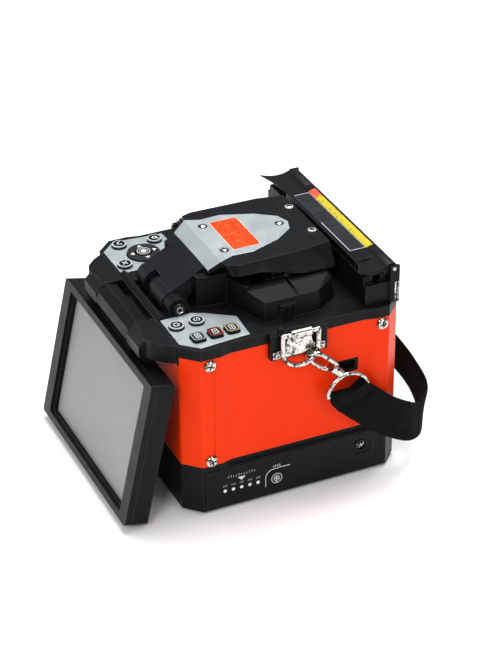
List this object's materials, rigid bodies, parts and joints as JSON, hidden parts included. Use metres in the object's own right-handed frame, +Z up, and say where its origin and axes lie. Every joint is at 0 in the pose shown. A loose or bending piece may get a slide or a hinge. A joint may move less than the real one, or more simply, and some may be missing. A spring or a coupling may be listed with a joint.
{
  "type": "fiber fusion splicer",
  "caption": "Fusion splicer on a black base with a hanging tilt monitor, hinged windshield over the splicing chamber, sleeve heater, keypads, slide-out battery and hand strap.",
  "frame": {"origin": "centre of the body's footprint on the table, where the rubber feet stand", "axes": "+X to the side with the battery pack, -Y to the monitor, +Z up"},
  "size_m": [0.1688, 0.2097, 0.1473],
  "materials": {
    "black_plastic": "fine texture, satin",
    "dark_plastic": "fine texture, satin",
    "orange_panel": "bright, semi-gloss",
    "rubber": "matt",
    "brass": "turned",
    "chrome": "polished",
    "silver_plate": "fine satin",
    "circuit_board": "solder mask",
    "machined": "machined",
    "ceramic": "fired ceramic",
    "electrode": "ground",
    "optics": "anodised black",
    "webbing": "woven",
    "screen": "anti-glare",
    "smoked_window": "smoked, clear",
    "cell_wrap": "shrink wrap",
    "key_cap": "soft touch"
  },
  "bodies": {
    "chassis": {"bottom_tray": "black_plastic", "rubber_feet": "rubber", "tripod_insert": "brass", "side_panels": "orange_panel", "front_panel": "orange_panel", "rear_panel": "orange_panel", "panel_screws": "chrome", "upper_housing": "dark_plastic", "keypad_plates": "silver_plate", "circuit_boards": "circuit_board", "ring_mounts": "black_plastic", "ring_plates": "chrome", "port_insert": "black_plastic", "splicing_platform": "machined", "vgroove_block": "ceramic", "electrodes": "electrode", "microscopes": "optics", "feed_motors": "machined", "heater_body": "dark_plastic", "heater_element": "machined", "hinge_pins": "chrome", "strap_back": "webbing"},
    "monitor": {"monitor_back": "dark_plastic", "monitor_bezel": "dark_plastic", "lcd_panel": "screen"},
    "windshield": {"windshield_cover": "dark_plastic", "windshield_arm": "dark_plastic", "windshield_plate": "silver_plate", "windshield_rear_plate": "dark_plastic", "windshield_screws": "chrome"},
    "heater_cover": {"heater_lid": "dark_plastic", "heater_window": "smoked_window"},
    "left_heater_clamp": {"heater_clamp_left": "dark_plastic"},
    "right_heater_clamp": {"heater_clamp_right": "dark_plastic"},
    "left_stage": {"fibre_stage_left": "machined"},
    "right_stage": {"fibre_stage_right": "machined"},
    "left_fibre_clamp": {"fibre_clamp_left": "dark_plastic"},
    "right_fibre_clamp": {"fibre_clamp_right": "dark_plastic"},
    "battery": {"battery_case": "black_plastic", "battery_face": "dark_plastic", "battery_cells": "cell_wrap", "dc_jack": "black_plastic"},
    "check": {"check_button": "key_cap"},
    "gimbal": {"dpad_gimbal": "key_cap"},
    "cursor": {"dpad_ring": "black_plastic"},
    "left_ring": {"strap_ring_left": "chrome", "snap_hook_left": "chrome", "strap_end_left": "webbing"},
    "right_ring": {"strap_ring_right": "chrome", "snap_hook_right": "chrome", "strap_end_right": "webbing"},
    "key_cancel_cap": {"key_cancel": "key_cap"},
    "key_menu_cap": {"key_menu": "key_cap"},
    "key_zoom_cap": {"key_zoom": "key_cap"},
    "key_ok_cap": {"key_ok": "key_cap"},
    "key_power_cap": {"key_power": "key_cap"},
    "key_reset_cap": {"key_reset": "key_cap"},
    "key_heat_cap": {"key_heat": "key_cap"},
    "key_set_cap": {"key_set": "key_cap"},
    "key_splice_cap": {"key_splice": "key_cap"}
  },
  "joints": [
    {"name": "monitor_tilt", "type": "hinge", "parent": "chassis", "child": "monitor", "pos_m": [0, -0.081, 0.1075], "axis": [-1, 0, 0], "range_deg": [-12, 105]},
    {"name": "windshield_open", "type": "hinge", "parent": "chassis", "child": "windshield", "pos_m": [0, -0.057, 0.121], "axis": [1, 0, 0], "range_deg": [0, 95]},
    {"name": "heater_lid_open", "type": "hinge", "parent": "chassis", "child": "heater_cover", "pos_m": [0, 0.066, 0.1398], "axis": [1, 0, 0], "range_deg": [-100, 0]},
    {"name": "left_heater_clamp_open", "type": "hinge", "parent": "chassis", "child": "left_heater_clamp", "pos_m": [-0.055, 0.066, 0.1398], "axis": [1, 0, 0], "range_deg": [-100, 0]},
    {"name": "right_heater_clamp_open", "type": "hinge", "parent": "chassis", "child": "right_heater_clamp", "pos_m": [0.061, 0.066, 0.1398], "axis": [1, 0, 0], "range_deg": [-100, 0]},
    {"name": "left_fibre_feed", "type": "slide", "parent": "chassis", "child": "left_stage", "axis": [1, 0, 0], "range_m": [-0.0015, 0.0015]},
    {"name": "right_fibre_feed", "type": "slide", "parent": "chassis", "child": "right_stage", "axis": [-1, 0, 0], "range_m": [-0.0015, 0.0015]},
    {"name": "left_fibre_clamp_open", "type": "hinge", "parent": "left_stage", "child": "left_fibre_clamp", "pos_m": [-0.02, 0.0146, 0.1325], "axis": [1, 0, 0], "range_deg": [-85, 0]},
    {"name": "right_fibre_clamp_open", "type": "hinge", "parent": "right_stage", "child": "right_fibre_clamp", "pos_m": [0.02, 0.0146, 0.1325], "axis": [1, 0, 0], "range_deg": [-85, 0]},
    {"name": "battery_slide", "type": "slide", "parent": "chassis", "child": "battery", "axis": [1, 0, 0], "range_m": [0, 0.09]},
    {"name": "check_press", "type": "slide", "parent": "battery", "child": "check", "axis": [1, 0, 0], "range_m": [-0.001, 0], "stiffness_N_per_m": 400, "springref_m": 0.0005},
    {"name": "key_cancel_press", "type": "slide", "parent": "chassis", "child": "key_cancel_cap", "axis": [0, 0, 1], "range_m": [-0.0008, 0], "stiffness_N_per_m": 400, "springref_m": 0.0005},
    {"name": "key_menu_press", "type": "slide", "parent": "chassis", "child": "key_menu_cap", "axis": [0, 0, 1], "range_m": [-0.0008, 0], "stiffness_N_per_m": 400, "springref_m": 0.0005},
    {"name": "key_zoom_press", "type": "slide", "parent": "chassis", "child": "key_zoom_cap", "axis": [0, 0, 1], "range_m": [-0.0008, 0], "stiffness_N_per_m": 400, "springref_m": 0.0005},
    {"name": "key_ok_press", "type": "slide", "parent": "chassis", "child": "key_ok_cap", "axis": [0, 0, 1], "range_m": [-0.0008, 0], "stiffness_N_per_m": 400, "springref_m": 0.0005},
    {"name": "key_power_press", "type": "slide", "parent": "chassis", "child": "key_power_cap", "axis": [0, 0, 1], "range_m": [-0.0008, 0], "stiffness_N_per_m": 400, "springref_m": 0.0005},
    {"name": "key_reset_press", "type": "slide", "parent": "chassis", "child": "key_reset_cap", "axis": [0, 0, 1], "range_m": [-0.0008, 0], "stiffness_N_per_m": 400, "springref_m": 0.0005},
    {"name": "key_heat_press", "type": "slide", "parent": "chassis", "child": "key_heat_cap", "axis": [0, 0, 1], "range_m": [-0.0008, 0], "stiffness_N_per_m": 400, "springref_m": 0.0005},
    {"name": "key_set_press", "type": "slide", "parent": "chassis", "child": "key_set_cap", "axis": [0, 0, 1], "range_m": [-0.0008, 0], "stiffness_N_per_m": 400, "springref_m": 0.0005},
    {"name": "key_splice_press", "type": "slide", "parent": "chassis", "child": "key_splice_cap", "axis": [0, 0, 1], "range_m": [-0.0008, 0], "stiffness_N_per_m": 400, "springref_m": 0.0005},
    {"name": "cursor_rock_front_back", "type": "hinge", "parent": "chassis", "child": "gimbal", "pos_m": [-0.0491, -0.0475, 0.1131], "axis": [1, 0, 0], "range_deg": [-3, 3], "stiffness_Nm_per_rad": 0.05},
    {"name": "cursor_rock_left_right", "type": "hinge", "parent": "gimbal", "child": "cursor", "pos_m": [-0.0491, -0.0475, 0.1131], "axis": [0, 1, 0], "range_deg": [-3, 3], "stiffness_Nm_per_rad": 0.05},
    {"name": "right_ring_swing", "type": "hinge", "parent": "chassis", "child": "right_ring", "pos_m": [0.0786, 0, 0.117], "axis": [0, -1, 0], "range_deg": [0, 20]},
    {"name": "left_ring_swing", "type": "hinge", "parent": "chassis", "child": "left_ring", "pos_m": [-0.0786, 0, 0.117], "axis": [0, 1, 0], "range_deg": [0, 20]}
  ]
}
